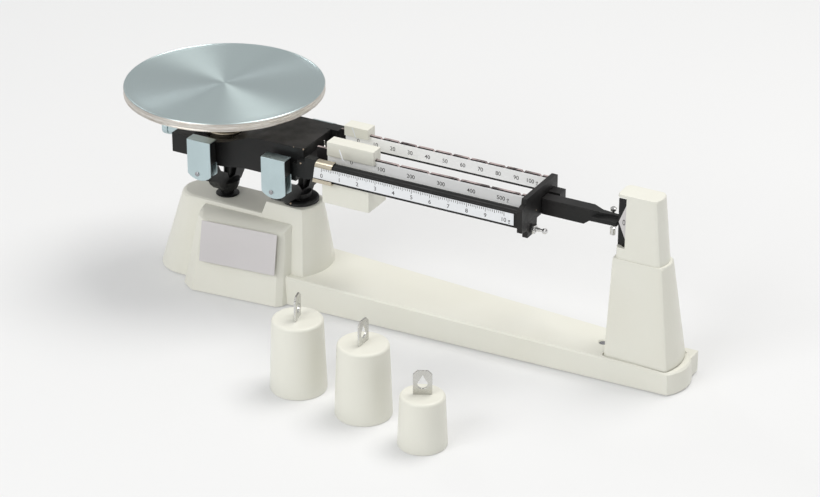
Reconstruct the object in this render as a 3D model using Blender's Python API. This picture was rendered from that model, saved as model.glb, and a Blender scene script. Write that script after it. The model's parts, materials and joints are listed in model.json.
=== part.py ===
"""Triple beam balance: a cast base, a knife-edge beam with three sliding poises, a lift-off pan on a
yoke that a hidden check link keeps upright, and three loose attachment weights.

Balance coordinates: X along the beam (0 on the pan's axis, the pointer towards +X), Y from the
front (-Y) to the back, Z up from the surface that the balance stands on.  Units are metres.
"""
import math

import bmesh
import bpy
from mathutils import Matrix, Vector

# ---------------------------------------------------------------- driving dimensions
GAP = 0.0003                      # clearance between touching pieces

PAN_RADIUS = 0.0762               # six-inch plate
PAN_TOP = 0.158                   # plate's upper face above the floor
LOAD_ARM = 0.065                  # pan knife to fulcrum knife
KNIFE_Z = 0.110
KNOB_X = -0.0495                  # middle of the zero knob
STUD_Y = -0.0190                  # calibration stud's axis
STUD_Z = 0.1080
LINK_Z = 0.028                    # check link, straight below the knife line

BEAM_END_X = 0.266                # rails end at the end plate's left face
RAIL_START_X = 0.0905
FRONT_RAIL_START_X = 0.0962       # at the plate's lower edge; the end slants to the tube's start
FRONT_TUBE_START_X = 0.0982
PLATE_TOP = 0.1318                # upper edge of the notched plates
PLATE_BOTTOM = 0.119
PLATE_THICK = 0.0022
STRIP_THICK = 0.0004              # graduated strips on the beams' front faces
CASTING_FRONT_Y = 0.0250          # half the beam casting's width
CASTING_LOW_TOP = 0.1190          # top of the casting's arms beside the pan post
CASTING_TOP = 0.1310
REAR_Y = 0.0195                   # centre planes of the three beams
MIDDLE_Y = -0.016
FRONT_Y = -0.032
FRONT_TUBE_Z = 0.1264
FRONT_TUBE_R = 0.0024
FRONT_PLATE_BOTTOM = 0.1126

REAR_PITCH = 0.01472              # one notch per 10 g
REAR_ZERO_X = 0.1109
MIDDLE_PITCH = 0.0249             # one notch per 100 g
MIDDLE_ZERO_X = 0.1349
FRONT_TRAVEL = 0.151              # 0 to 10 g

COVER_HALF = 0.0102               # bearing covers: half width, top, bottom and depth
COVER_TOP = 0.1246
COVER_BOTTOM = 0.0920
COVER_OUTER_Y = 0.0390
COVER_INNER_Y = 0.0295
POST_BOX_BOTTOM = 0.1108          # underside of the knife boxes on the post and on the yoke
YOKE_BOX_BOTTOM = 0.1058
COVER_SCREW_DX = -0.0018
COVER_SCREW_Z = 0.0968

FOOT_HEIGHT = 0.001               # how far the rubber feet lift the casting's rim
WALL = 0.003
BRIDGE_END_X = 0.381
BRIDGE_BULGE = 0.0078

TOWER_FOOT_Z = 0.0178
TOWER_STEP_Z = 0.0955
TOWER_TOP_Z = 0.1460
TOWER_WALL = 0.0024
ZERO_MARK_Z = 0.1225              # height of the pointer's tip and of the scale's zero

WEIGHTS = (("weight_1000g_a", 0.1424, -0.1351, 0.0208, 0.0188, 0.0565, 105.0),
           ("weight_1000g_b", 0.2018, -0.1448, 0.0208, 0.0188, 0.0565, 90.0),
           ("weight_500g", 0.2589, -0.1623, 0.0178, 0.0163, 0.0396, 28.0))
HOOK_EYE_R = 0.0036
HOOK_WIDTH = 0.0135
HOOK_RISE = 0.0188
HOOK_THICK = 0.0015

FRAME_MIN_X = -PAN_RADIUS
FRAME_MAX_X = BRIDGE_END_X + BRIDGE_BULGE
FRAME_MIN_Y = WEIGHTS[2][2] - WEIGHTS[2][3]
FRAME_MAX_Y = PAN_RADIUS

# ---------------------------------------------------------------- materials: colour, metallic, roughness
FINISHES = {
    "cream_paint": ((0.74, 0.71, 0.60), 0.0, 0.42),
    "black_paint": ((0.022, 0.022, 0.024), 0.0, 0.45),
    "brushed_steel": ((0.50, 0.55, 0.56), 1.0, 0.32),
    "nickel": ((0.62, 0.68, 0.70), 1.0, 0.30),
    "tan_nickel": ((0.56, 0.51, 0.42), 1.0, 0.35),
    "scale_white": ((0.84, 0.86, 0.88), 0.0, 0.45),
    "label_grey": ((0.62, 0.60, 0.60), 0.0, 0.50),
    "chrome": ((0.78, 0.78, 0.78), 1.0, 0.15),
    "tool_steel": ((0.38, 0.38, 0.40), 1.0, 0.28),
    "rubber": ((0.03, 0.03, 0.03), 0.0, 0.85),
    "aluminium": ((0.60, 0.60, 0.62), 1.0, 0.40),
    "magnet": ((0.20, 0.20, 0.22), 1.0, 0.50),
}


# ---------------------------------------------------------------- scene and object helpers
def clear_scene():
    for old in list(bpy.data.objects):
        bpy.data.objects.remove(old, do_unlink=True)


def make_material(node_name, finish):
    colour, metallic, roughness = FINISHES[finish]
    material = bpy.data.materials.new(node_name + "_" + finish)
    material.use_nodes = True
    shader = material.node_tree.nodes["Principled BSDF"]
    shader.inputs["Base Color"].default_value = (*colour, 1.0)
    shader.inputs["Metallic"].default_value = metallic
    shader.inputs["Roughness"].default_value = roughness
    return material


def make_empty(name, location, parent=None):
    empty = bpy.data.objects.new(name, None)
    bpy.context.collection.objects.link(empty)
    empty.empty_display_size = 0.01
    empty.location = location
    empty.parent = parent
    return empty


def mesh_object(name, bm):
    """Link a bmesh as a new object, with its faces pointing out."""
    bmesh.ops.recalc_face_normals(bm, faces=bm.faces)
    mesh = bpy.data.meshes.new(name)
    bm.to_mesh(mesh)
    bm.free()
    obj = bpy.data.objects.new(name, mesh)
    bpy.context.collection.objects.link(obj)
    return obj


def finish(obj, material_name, pivot, smooth=None):
    """Give an object its material and hang it on its body's empty, keeping its place."""
    obj.data.materials.clear()
    obj.data.materials.append(make_material(obj.name, material_name))
    if smooth is not None:
        obj.data.shade_smooth()
        obj.data.set_sharp_from_angle(angle=math.radians(smooth))
    obj.data.transform(Matrix.Translation(-pivot.location))
    obj.parent = pivot
    return obj


def combine(obj, other, operation):
    """Apply a Boolean with the exact solver and remove the second object."""
    modifier = obj.modifiers.new(operation.lower(), "BOOLEAN")
    modifier.object = other
    modifier.operation = operation
    modifier.solver = "EXACT"
    graph = bpy.context.evaluated_depsgraph_get()
    result = bpy.data.meshes.new_from_object(obj.evaluated_get(graph))
    obj.modifiers.clear()
    obj.data = result
    bpy.data.objects.remove(other, do_unlink=True)
    return obj


def cut(obj, *cutters):
    for cutter in cutters:
        combine(obj, cutter, "DIFFERENCE")
    return obj


def join(obj, *others):
    for other in others:
        combine(obj, other, "UNION")
    return obj


# ---------------------------------------------------------------- shape helpers
def loft(name, rings):
    """A closed solid through rings that have the same number of points."""
    bm = bmesh.new()
    loops = [[bm.verts.new(point) for point in ring] for ring in rings]
    count = len(loops[0])
    for lower, upper in zip(loops, loops[1:]):
        for i in range(count):
            j = (i + 1) % count
            bm.faces.new((lower[i], lower[j], upper[j], upper[i]))
    bm.faces.new(loops[0])
    bm.faces.new(loops[-1])
    return mesh_object(name, bm)


def box(name, low, high):
    (x0, y0, z0), (x1, y1, z1) = low, high
    return loft(name, [[(x0, y0, z), (x1, y0, z), (x1, y1, z), (x0, y1, z)] for z in (z0, z1)])


def prism(name, outline, axis, low, high):
    """An outline extruded along X (outline in y, z), Y (x, z) or Z (x, y)."""
    place = {"X": lambda u, v, w: (w, u, v),
             "Y": lambda u, v, w: (u, w, v),
             "Z": lambda u, v, w: (u, v, w)}[axis]
    return loft(name, [[place(u, v, w) for u, v in outline] for w in (low, high)])


def turned(name, profile, axis="Z", centre=(0.0, 0.0, 0.0), sides=32):
    """A solid of revolution; profile is (radius, distance along the axis), radius > 0."""
    place = {"X": lambda r, t, a: (t, r * math.cos(a), r * math.sin(a)),
             "Y": lambda r, t, a: (r * math.sin(a), t, r * math.cos(a)),
             "Z": lambda r, t, a: (r * math.cos(a), r * math.sin(a), t)}[axis]
    origin = Vector(centre)
    rings = []
    for radius, along in profile:
        angles = (2.0 * math.pi * i / sides for i in range(sides))
        rings.append([origin + Vector(place(radius, along, angle)) for angle in angles])
    return loft(name, rings)


def rod(name, axis, centre, radius, low, high, sides=24):
    return turned(name, ((radius, low), (radius, high)), axis, centre, sides)


def arc(centre, radius, start, end, steps):
    """Points on an arc in a plane, angles in degrees, both ends included."""
    points = []
    for i in range(steps + 1):
        angle = math.radians(start + (end - start) * i / steps)
        points.append((centre[0] + radius * math.cos(angle), centre[1] + radius * math.sin(angle)))
    return points


def bowed_end(x, half_width, bulge, steps):
    """A shallow arc from (x, -half_width) to (x, half_width), bulging towards +X."""
    radius = (half_width ** 2 + bulge ** 2) / (2.0 * bulge)
    spread = math.degrees(math.asin(half_width / radius))
    return arc((x + bulge - radius, 0.0), radius, -spread, spread, steps)


# ---------------------------------------------------------------- base
def pedestal_ring(z, inset=0.0, x_start=None, top_inset=0.0):
    """Outline of the pedestal at a height: a half-round left end and a bowed right end."""
    half = 0.028 - z / 6.0 - inset - top_inset
    centre_x = -0.0295 + 0.146 * z
    right = 0.0824 - 0.0907 * z - inset - top_inset
    end = bowed_end(right, half, 0.010 - 0.05 * z, 8)
    if x_start is None:
        left = arc((centre_x, 0.0), half, 90.0, 270.0, 14)
    else:
        left = [(x_start, half), (x_start, -half)]
    return [(x, y, z) for x, y in end + left]


def raised_rings(inset=0.0):
    """The higher, right-hand platform that carries the fulcrum post."""
    rings = []
    for z, x_left, shrink in ((0.050, 0.0365, 0.0002), (0.0725, 0.0435, 0.0002), (0.0742, 0.0440, 0.0008),
                              (0.0750, 0.0452, 0.0024)):
        rings.append(pedestal_ring(z - inset * 1.1, inset, x_left + inset, shrink))
    return rings


def bridge_outline(inset):
    """The bridge in plan: its root in the pedestal, its widest point, its taper and its bowed end."""
    root = (0.046, 0.0262 - inset)
    widest = (0.071, 0.0314 - inset)
    end = bowed_end(BRIDGE_END_X - inset, 0.0203 - inset, BRIDGE_BULGE, 10)
    left = [widest, root, (root[0], -root[1]), (widest[0], -widest[1])]
    return left + end


def bridge_top(x):
    return 0.0233 - (x - 0.077) * 0.0177


def bridge_solid(name, inset, drop, bottom):
    lower = [(x, y, bottom) for x, y in bridge_outline(inset)]
    rim = [(x, y, FOOT_HEIGHT + 0.0005) for x, y in bridge_outline(inset)]
    middle = [(x, y, bridge_top(x) - drop - 0.0014) for x, y in bridge_outline(inset + 0.0008)]
    upper = [(x, y, bridge_top(x) - drop) for x, y in bridge_outline(inset + 0.0022)]
    return loft(name, [lower, rim, middle, upper])


def panel_ring(z, left, right, depth, lean):
    """The label panel's outline: a flared left corner, the flat face and a chamfered right side."""
    (x0, y0), (x1, y1) = left, right
    flare = [(x0 - 0.0185 * lean, y0 + depth), (x0 - 0.0125 * lean, y0 + 0.008 * lean),
             (x0 - 0.0045 * lean, y0 + 0.002 * lean)]
    chamfer = [(x1 + 0.004, y1 + 0.0035), (x1 + 0.009, y1 + depth)]
    return [(x, y, z) for x, y in flare + [left, right] + chamfer]


def panel_solid(name, inset):
    rings = [panel_ring(-0.005 - inset * 2, (-0.0059 + inset, -0.0472 + inset),
                        (0.0653 - inset, -0.0409 + inset), 0.024, 1.0),
             panel_ring(0.0575 - inset, (-0.0012 + inset, -0.0343 + inset),
                        (0.0618 - inset, -0.0283 + inset), 0.018, 0.55),
             panel_ring(0.0600 - inset, (-0.0025 + inset, -0.0305 + inset),
                        (0.0630 - inset, -0.0250 + inset), 0.014, 0.45),
             panel_ring(0.0618 - inset, (-0.0045 + inset, -0.0235 + inset),
                        (0.0645 - inset, -0.0195 + inset), 0.010, 0.30)]
    return loft(name, rings)


def tower_ring(z, x_left, x_right, half, bulge):
    corner = 0.003
    left = [(x_left + corner, half), (x_left + 0.0009, half - 0.0009), (x_left, half - corner),
            (x_left, corner - half), (x_left + 0.0009, 0.0009 - half), (x_left + corner, -half)]
    end = bowed_end(x_right, half - 0.0012, bulge, 8)
    return [(x, y, z) for x, y in [(x_right - 0.0022, -half)] + end + [(x_right - 0.0022, half)] + left]


def tower_lower_rings(inset):
    return [tower_ring(TOWER_FOOT_Z - inset * 2, 0.3280 + inset, 0.3785 - inset, 0.0176 - inset, 0.0035),
            tower_ring(TOWER_STEP_Z - 0.0015 - inset, 0.3295 + inset, 0.3688 - inset, 0.0115 - inset, 0.0030),
            tower_ring(TOWER_STEP_Z - inset, 0.3303 + inset, 0.3680 - inset, 0.0108 - inset, 0.0030)]


def tower_upper_rings(inset):
    return [tower_ring(TOWER_STEP_Z - 0.006 - inset, 0.3318 + inset, 0.3672 - inset, 0.0103 - inset, 0.0025),
            tower_ring(TOWER_TOP_Z - 0.0014 - inset, 0.3316 + inset, 0.3620 - inset, 0.0093 - inset, 0.0022),
            tower_ring(TOWER_TOP_Z - 0.0004 - inset, 0.3320 + inset, 0.3616 - inset, 0.0089 - inset, 0.0022),
            tower_ring(TOWER_TOP_Z - inset, 0.3330 + inset, 0.3606 - inset, 0.0079 - inset, 0.0022)]


TOWER_SCREW_X = 0.3205
FEET = ((-0.020, -0.0175), (-0.020, 0.0175), (0.368, 0.0))
FOOT_RADIUS = 0.0055
STEM_HOLE_R = 0.0056
LABEL_TILT = math.atan2(0.0117, 0.0565)


def build_base(body):
    casting = loft("base_casting", [pedestal_ring(-0.003), pedestal_ring(0.0625),
                                    pedestal_ring(0.0642, top_inset=0.0008),
                                    pedestal_ring(0.0650, top_inset=0.0024)])
    join(casting, loft("raised", raised_rings()), bridge_solid("bridge", 0.0, 0.0, -0.004),
         panel_solid("panel", 0.0))
    hollow = loft("hollow", [pedestal_ring(-0.010, WALL), pedestal_ring(0.0615, WALL)])
    join(hollow, loft("raised_hollow", raised_rings(WALL)),
         bridge_solid("bridge_hollow", WALL, WALL, -0.012), panel_solid("panel_hollow", WALL))
    cut(casting, hollow, box("below_rim", (-0.100, -0.100, -0.020), (0.450, 0.100, FOOT_HEIGHT)))
    join(casting, box("end_tab", (0.3750, 0.0120, FOOT_HEIGHT), (0.3852, 0.0245, 0.0172)))
    for x, y in FEET:
        boss_top = 0.0175 if x > 0.3 else 0.012
        join(casting, rod("boss", "Z", (x, y, 0.0), 0.0078, 0.0042, boss_top, 16))
    cut(casting, rod("stem_hole", "Z", (0.0, 0.0, 0.0), STEM_HOLE_R, 0.055, 0.070, 24),
        rod("post_bolt_hole", "Z", (LOAD_ARM, 0.0, 0.0), 0.0033, 0.065, 0.080, 16),
        turned("tower_screw_hole", ((0.0022, 0.010), (0.0022, 0.0166), (0.0046, 0.0200)), "Z",
               (TOWER_SCREW_X, 0.0, 0.0), 16),
        loft("tower_seat", [tower_ring(z, 0.3272, 0.3792, 0.0184, 0.0037) for z in (0.0172, 0.026)]))
    finish(casting, "cream_paint", body, 35.0)

    for i, (x, y) in enumerate(FEET):
        foot = turned("rubber_foot_%d" % (i + 1), ((FOOT_RADIUS - 0.0008, 0.0), (FOOT_RADIUS, 0.0008),
                                                   (FOOT_RADIUS, 0.0042 - GAP)), "Z", (x, y, 0.0), 20)
        finish(foot, "rubber", body, 40.0)

    label = box("label_plate", (0.002, -0.0005, -0.016), (0.0655, 0.0, 0.016))
    label.data.transform(Matrix.Translation((-0.0015, -0.0412, 0.0425))
                         @ Matrix.Rotation(0.093, 4, "Z") @ Matrix.Rotation(-LABEL_TILT, 4, "X"))
    finish(label, "label_grey", body)

    collar = turned("stem_collar", ((0.0090, 0.0650 + GAP), (0.0092, 0.0658), (0.0086, 0.0663),
                                    (0.0060, 0.0664)), "Z", (0.0, 0.0, 0.0), 24)
    cut(collar, rod("collar_bore", "Z", (0.0, 0.0, 0.0), 0.0050, 0.060, 0.070, 24))
    finish(collar, "rubber", body, 40.0)

    screw = turned("tower_screw", ((0.0019, 0.0120), (0.0019, 0.0167), (0.0030, 0.0183)), "Z",
                   (TOWER_SCREW_X, 0.0, 0.0), 16)
    finish(screw, "tool_steel", body, 40.0)


def build_tower(body):
    tower = loft("tower_housing", tower_lower_rings(0.0))
    join(tower, loft("tower_upper", tower_upper_rings(0.0)))
    cut(tower, loft("lower_hollow", tower_lower_rings(TOWER_WALL)),
        loft("upper_hollow", tower_upper_rings(TOWER_WALL)),
        box("pointer_slot", (0.325, -0.020, 0.1042), (0.3392, 0.0068, 0.1434)))
    finish(tower, "cream_paint", body, 35.0)

    scale = box("pointer_scale_plate", (0.3320, -0.0062, 0.1046), (0.3450, -0.0054, 0.1410))
    finish(scale, "black_paint", body)

    magnet = box("damper_magnet", (0.3430, -0.0042, 0.1085), (0.3590, 0.0052, 0.1325))
    cut(magnet, box("vane_slot", (0.3400, -0.0012, 0.1000), (0.3545, 0.0022, 0.1400)))
    finish(magnet, "magnet", body)


YOKE_UNDERSIDE = ((0.0370, 0.0960), (0.0345, 0.0905), (0.0204, 0.0840), (0.0176, 0.0788), (0.0126, 0.0740))
YOKE_INSIDE = ((0.0040, 0.0800), (0.0070, 0.0862), (0.0158, 0.0915), (0.0190, 0.0970), (0.0305, 0.1015))
POST_UNDERSIDE = ((0.0370, 0.0960), (0.0345, 0.0890), (0.0270, 0.0840), (0.0130, 0.0823), (0.0095, 0.0787))
POST_INSIDE = ((0.0045, 0.0850), (0.0095, 0.0917), (0.0185, 0.0957), (0.0220, 0.0990), (0.0305, 0.1018))
ARM_HALF = 0.0047                 # half the forks' thickness along the beam


def fork(x, underside, inside, tip_z):
    """A fork across the beam: a low middle and two arms that sweep up and out to the bearings."""
    right = [(underside[0][0], tip_z)] + list(underside)
    inner = list(inside) + [(inside[-1][0], tip_z)]
    left = [(-y, z) for y, z in reversed(right)] + [(-y, z) for y, z in reversed(inner)]
    return prism("fork", right + left + inner, "X", x - ARM_HALF, x + ARM_HALF)


def fork_rib(x, bottom, top):
    """Upright rib that stiffens the rear half of a fork."""
    return box("fork_rib", (x - 0.0022, 0.0010, bottom), (x + 0.0022, 0.0130, top))


def knife_box(x, front, bottom, top):
    """The block at a fork's tip, under the cover, that the knife passes into."""
    low, high = (-0.0379, -0.0306) if front else (0.0306, 0.0379)
    return box("knife_box", (x - 0.0098, low, bottom), (x + 0.0098, high, top))


def knife_window(x, half, front, bottom, top):
    low, high = (-0.0385, -0.0290) if front else (0.0290, 0.0385)
    return box("knife_window", (x - half, low, bottom), (x + half, high, top))


def bearing_outline(x, edge_z, direction):
    """A V block whose groove faces the knife: direction +1 opens upwards, -1 downwards."""
    tip = edge_z - direction * GAP
    lip = edge_z + direction * 0.0016
    back = edge_z - direction * 0.0058
    return [(x - 0.0030, back), (x + 0.0030, back), (x + 0.0030, lip), (x + 0.0027, lip), (x, tip),
            (x - 0.0027, lip), (x - 0.0030, lip)]


def cover_shell(name, x, front, box_bottom):
    """Inverted-U sheet cover over a bearing: a round-ended outer leaf, and an inner leaf that is
    slotted for the fork and narrows to two strips beside the knife box."""
    sheet = 0.0008
    droop = 0.0044                 # how much lower the round end's middle is than its corners
    side = -1.0 if front else 1.0
    radius = (COVER_HALF ** 2 + droop ** 2) / (2.0 * droop)
    spread = math.degrees(math.asin(COVER_HALF / radius))
    outline = arc((x, COVER_BOTTOM + radius), radius, 270.0 - spread, 270.0 + spread, 8)
    outline += [(x + COVER_HALF, COVER_TOP), (x - COVER_HALF, COVER_TOP)]
    shell = prism(name, outline, "Y", side * COVER_OUTER_Y, side * COVER_INNER_Y)
    bend = [(side * (COVER_OUTER_Y + 0.001), COVER_TOP - 0.0008),
            (side * (COVER_OUTER_Y + 0.001), COVER_TOP + 0.001),
            (side * (COVER_OUTER_Y - 0.0008), COVER_TOP + 0.001), (side * (COVER_OUTER_Y - 0.0008), COVER_TOP),
            (side * (COVER_OUTER_Y - 0.0002), COVER_TOP - 0.0003), (side * COVER_OUTER_Y, COVER_TOP - 0.0008)]
    void = sorted(side * edge for edge in (COVER_OUTER_Y - sheet, COVER_INNER_Y + sheet))
    slot = sorted(side * edge for edge in (COVER_INNER_Y - 0.002, COVER_INNER_Y + 0.002))
    cut(shell, prism("bend", bend, "X", x - 0.02, x + 0.02),
        box("void", (x - 0.02, void[0], 0.085), (x + 0.02, void[1], COVER_TOP - sheet)),
        box("knife_slot", (x - 0.0051, slot[0], 0.085), (x + 0.0051, slot[1], 0.1200)))
    for low, high in ((x - 0.0110, x - 0.0069), (x + 0.0069, x + 0.0110)):
        cut(shell, box("ear", (low, slot[0], box_bottom), (high, slot[1], COVER_TOP - sheet)))
    return shell


def cover_screw(name, x, front):
    side = -1.0 if front else 1.0
    profile = ((0.0012, 0.0345), (0.0012, 0.0390 + GAP), (0.0018, 0.0390 + GAP), (0.0018, 0.0394),
               (0.0012, 0.0397))
    return turned(name, [(radius, side * along) for radius, along in profile], "Y",
                  (x + COVER_SCREW_DX, 0.0, COVER_SCREW_Z), 16)


def cover_screw_hole(x, front):
    side = -1.0 if front else 1.0
    return turned("screw_hole", [(0.0016, side * along) for along in (0.0335, 0.0420)], "Y",
                  (x + COVER_SCREW_DX, 0.0, COVER_SCREW_Z), 12)


def build_fulcrum(body):
    post = turned("fulcrum_post", ((0.0145, 0.0750 + GAP), (0.0145, 0.0775), (0.0135, 0.0785),
                                   (0.0088, 0.0792), (0.0086, 0.0826)), "Z", (LOAD_ARM, 0.0, 0.0), 28)
    join(post, fork(LOAD_ARM, POST_UNDERSIDE, POST_INSIDE, 0.1150), fork_rib(LOAD_ARM, 0.0800, 0.1010))
    cut(post, rod("thread", "Z", (LOAD_ARM, 0.0, 0.0), 0.0025, 0.070, 0.0800, 12))
    for front in (True, False):
        join(post, knife_box(LOAD_ARM, front, POST_BOX_BOTTOM, 0.1232))
        cut(post, knife_window(LOAD_ARM, 0.0035, front, 0.1040 - GAP, 0.1178), cover_screw_hole(LOAD_ARM, front))
    finish(post, "black_paint", body, 35.0)

    bolt = turned("fulcrum_post_bolt", ((0.0048, 0.0650), (0.0048, 0.0685), (0.0022, 0.0685),
                                        (0.0022, 0.0792)), "Z", (LOAD_ARM, 0.0, 0.0), 16)
    finish(bolt, "tool_steel", body, 40.0)

    for front, place in ((True, "front"), (False, "rear")):
        low, high = (-0.0365, -0.0303) if front else (0.0303, 0.0365)
        bearing = prism("fulcrum_bearing_" + place, bearing_outline(LOAD_ARM, KNIFE_Z, 1), "Y", low, high)
        finish(bearing, "tool_steel", body)
        cover = cover_shell("fulcrum_cover_" + place, LOAD_ARM, front, POST_BOX_BOTTOM)
        cut(cover, cover_screw_hole(LOAD_ARM, front))
        finish(cover, "nickel", body, 35.0)
        finish(cover_screw("fulcrum_cover_screw_" + place, LOAD_ARM, front), "tan_nickel", body, 40.0)


def build_check_bracket(body):
    """Plate hanging from the pedestal's ceiling, with the pin that the check link turns on."""
    bracket = box("check_bracket", (0.0595, 0.0065, LINK_Z - 0.005), (0.0705, 0.0090, 0.0705))
    join(bracket, box("bracket_top", (0.0595, 0.0055, 0.0690), (0.0705, 0.0100, 0.0712)),
         rod("check_pin", "Y", (LOAD_ARM, 0.0, LINK_Z), 0.0018, -0.0035, 0.0080, 16))
    finish(bracket, "tool_steel", body, 40.0)


# ---------------------------------------------------------------- beam
def knife_outline(x, edge_z, direction):
    """A knife whose edge points down (direction +1) or up (-1)."""
    return [(x, edge_z), (x + 0.0024, edge_z + direction * 0.0040), (x + 0.0024, edge_z + direction * 0.0055),
            (x - 0.0024, edge_z + direction * 0.0055), (x - 0.0024, edge_z + direction * 0.0040)]


def knife(name, x, direction, front):
    low, high = (-0.0370, -0.0218) if front else (0.0218, 0.0370)
    return prism(name, knife_outline(x, KNIFE_Z, direction), "Y", low, high)


def knife_pocket(x, direction, front):
    low, high = (-0.0280, -0.0215) if front else (0.0215, 0.0280)
    side = direction * GAP
    outline = [(x, KNIFE_Z - 2 * side), (x + 0.0027, KNIFE_Z + direction * 0.0038),
               (x + 0.0027, KNIFE_Z + direction * 0.0055 + side),
               (x - 0.0027, KNIFE_Z + direction * 0.0055 + side), (x - 0.0027, KNIFE_Z + direction * 0.0038)]
    return prism("knife_pocket", outline, "Y", low, high)


def casting_side():
    """The casting seen from the front: low arms round the pan post, then a rise to the tall block."""
    low, top, bottom = CASTING_LOW_TOP + 0.0005, CASTING_TOP, 0.1033
    start, end = 0.0020, 0.0470
    rise = []
    for i in range(9):
        share = i / 8.0
        rise.append((start + (end - start) * share, low + (top - low) * (1.0 - math.cos(math.pi * share)) / 2.0))
    belly = [(-0.0140, bottom), (-0.0060, 0.1008), (0.0040, 0.1000), (0.0140, 0.1008), (0.0300, bottom)]
    right = [(0.0765, bottom), (0.0765, 0.1092), (0.0835, 0.1092), (0.0835, top)]
    return belly + right + rise[::-1] + [(-0.0140, low)]


def build_beam_casting(body):
    width = CASTING_FRONT_Y
    casting = box("beam_casting", (-0.0325, -width, 0.1035), (0.0100, width, CASTING_LOW_TOP))
    join(casting, prism("block", casting_side(), "Y", -width + 0.0001, width - 0.0001),
         box("cross_wall", (0.0800, -0.0290, 0.1092), (0.0900, 0.0240, 0.1230)),
         prism("front_block", ((0.0885, 0.1112), (0.0945, 0.1112), (0.0972, 0.1280), (0.0885, 0.1280)), "Y",
               -0.0316, -0.0260),
         box("rear_block", (0.0800, 0.0150, 0.1160), (0.0900, 0.0252, 0.1312)),
         box("lug", (0.0762, -0.0285, 0.1095), (0.0838, -0.0200, 0.1196)))
    cut(casting, box("pan_window", (-0.0167, -0.0195, 0.0950), (0.0180, 0.0195, 0.1400)),
        box("underside", (0.0240, -0.0175, 0.0950), (0.0770, 0.0175, 0.1172)),
        box("underside_deep", (0.0500, -0.0175, 0.0950), (0.0770, 0.0175, 0.1272)),
        rod("stud_hole", "X", (0.0, 0.0, KNIFE_Z), 0.0021, -0.0400, -0.0235, 16),
        rod("pin_hole", "Z", (0.0880, -0.0020, 0.0), 0.0008, 0.1200, 0.1260, 12))
    for front in (True, False):
        cut(casting, knife_pocket(0.0, -1, front), knife_pocket(LOAD_ARM, 1, front))
    finish(casting, "black_paint", body, 35.0)

    pin = turned("beam_locating_pin", ((0.0005, 0.1205), (0.0005, 0.1234), (0.0010, 0.1237), (0.0013, 0.1246),
                                       (0.0010, 0.1255), (0.0005, 0.1258), (0.0005, 0.1296), (0.0003, 0.1300)),
                 "Z", (0.0880, -0.0020, 0.0), 12)
    finish(pin, "chrome", body, 40.0)

    for front, place in ((True, "front"), (False, "rear")):
        finish(knife("load_knife_" + place, 0.0, -1, front), "tool_steel", body)
        finish(knife("fulcrum_knife_" + place, LOAD_ARM, 1, front), "tool_steel", body)

    stud = rod("zero_stud", "X", (0.0, 0.0, KNIFE_Z), 0.0018, -0.0520, -0.0240, 16)
    finish(stud, "tool_steel", body, 40.0)


def notched_plate(name, y, zero_x, pitch, count):
    """A vertical plate whose upper edge has a V notch at each stop of its poise."""
    low, high = y - PLATE_THICK / 2.0, y + PLATE_THICK / 2.0
    outline = [(RAIL_START_X, PLATE_BOTTOM), (BEAM_END_X - GAP, PLATE_BOTTOM), (BEAM_END_X - GAP, PLATE_TOP)]
    for i in reversed(range(count)):
        x = zero_x + i * pitch
        outline += [(x + 0.0014, PLATE_TOP), (x, PLATE_TOP - 0.0016), (x - 0.0014, PLATE_TOP)]
    outline.append((RAIL_START_X, PLATE_TOP))
    return prism(name, outline, "Y", low, high)


def build_rails(body):
    finish(notched_plate("rear_notched_beam", REAR_Y, REAR_ZERO_X, REAR_PITCH, 11), "black_paint", body)
    finish(notched_plate("middle_notched_beam", MIDDLE_Y, MIDDLE_ZERO_X, MIDDLE_PITCH, 6),
           "black_paint", body)
    front = rod("front_graduated_beam", "X", (0.0, FRONT_Y, FRONT_TUBE_Z), FRONT_TUBE_R,
                FRONT_TUBE_START_X, BEAM_END_X - GAP, 20)
    side = ((FRONT_RAIL_START_X, FRONT_PLATE_BOTTOM), (BEAM_END_X - GAP, FRONT_PLATE_BOTTOM),
            (BEAM_END_X - GAP, FRONT_TUBE_Z), (FRONT_TUBE_START_X + 0.0001, FRONT_TUBE_Z))
    join(front, prism("front_plate", side, "Y", FRONT_Y - 0.0010, FRONT_Y + 0.0010))
    finish(front, "black_paint", body, 40.0)

    strips = (("rear_scale_strip", REAR_Y - PLATE_THICK / 2.0, 0.0950, 0.0950, 0.2645, 0.1210, 0.1308),
              ("middle_scale_strip", MIDDLE_Y - PLATE_THICK / 2.0, 0.1000, 0.1000, 0.2645, 0.1210, 0.1308),
              ("front_scale_strip", FRONT_Y - 0.0010, 0.0966, 0.0980, 0.2625, 0.1146, 0.1238))
    for name, face_y, x_low, x_high, x_end, z0, z1 in strips:
        outline = ((x_low, z0), (x_end, z0), (x_end, z1), (x_high, z1))
        finish(prism(name, outline, "Y", face_y - GAP - STRIP_THICK, face_y - GAP), "scale_white", body)


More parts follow.
